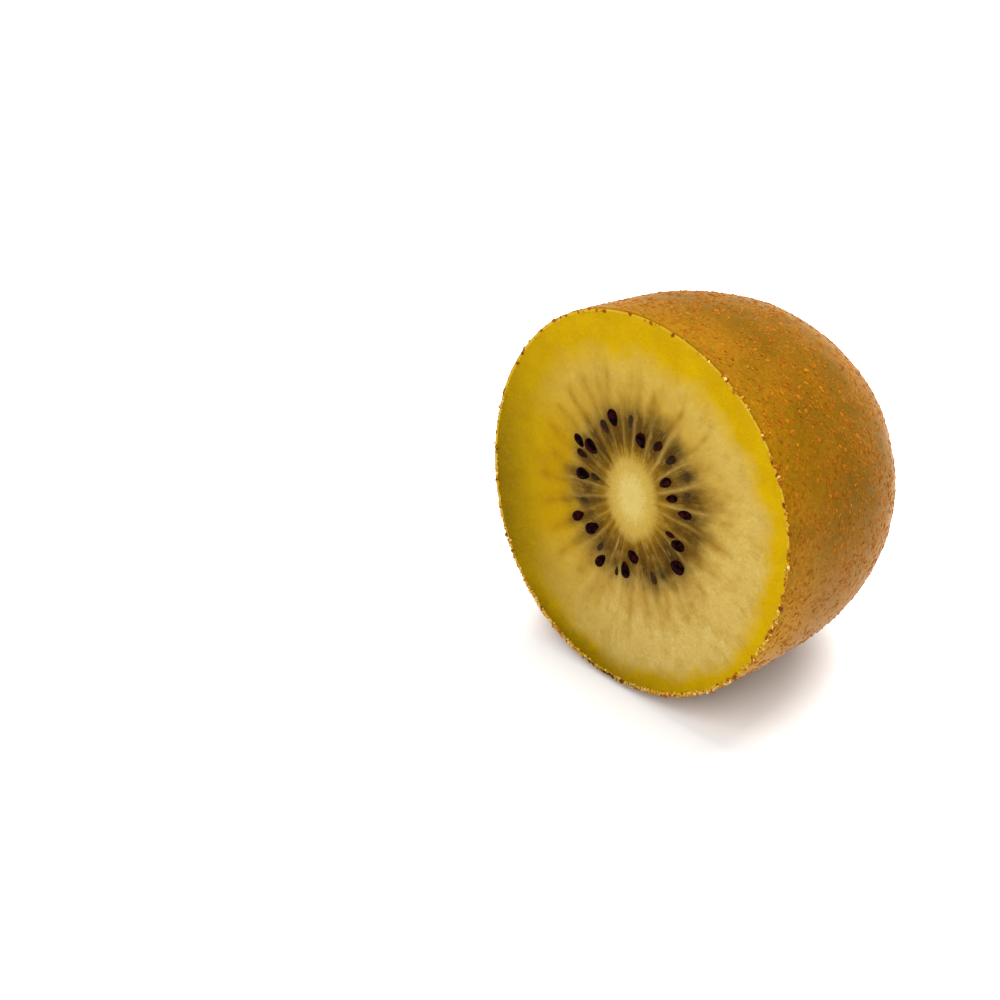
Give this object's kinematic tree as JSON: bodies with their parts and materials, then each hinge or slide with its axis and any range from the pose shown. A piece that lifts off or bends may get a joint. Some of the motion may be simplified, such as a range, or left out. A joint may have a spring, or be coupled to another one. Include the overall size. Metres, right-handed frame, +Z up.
{
  "type": "golden kiwi fruit half",
  "caption": "Half of a golden kiwi fruit, cut across its middle and lying on its thin brown skin, with golden flesh, a pale oval core and a ring of dark seeds on the cut.",
  "frame": {"origin": "on the surface that the half lies on, under the middle of its bounding box", "axes": "+Z is up as the half lies; the cut faces -Y and leans back 6.9 degrees, so it also looks a little up; the fruit's long axis runs towards +Y and the stem end is there; +X is to the right of someone who faces the cut"},
  "size_m": [0.0518, 0.0404, 0.0524],
  "materials": {
    "skin": "thin dull golden brown peel with raised rusty flecks and a short fine fuzz",
    "flesh": "moist golden flesh, paler and fibrous towards the middle",
    "core": "moist pale cream core",
    "seed": "smooth glossy purple-black seed coat"
  },
  "bodies": {
    "root": {"skin": "skin", "flesh": "flesh", "core": "core"}
  },
  "joints": []
}
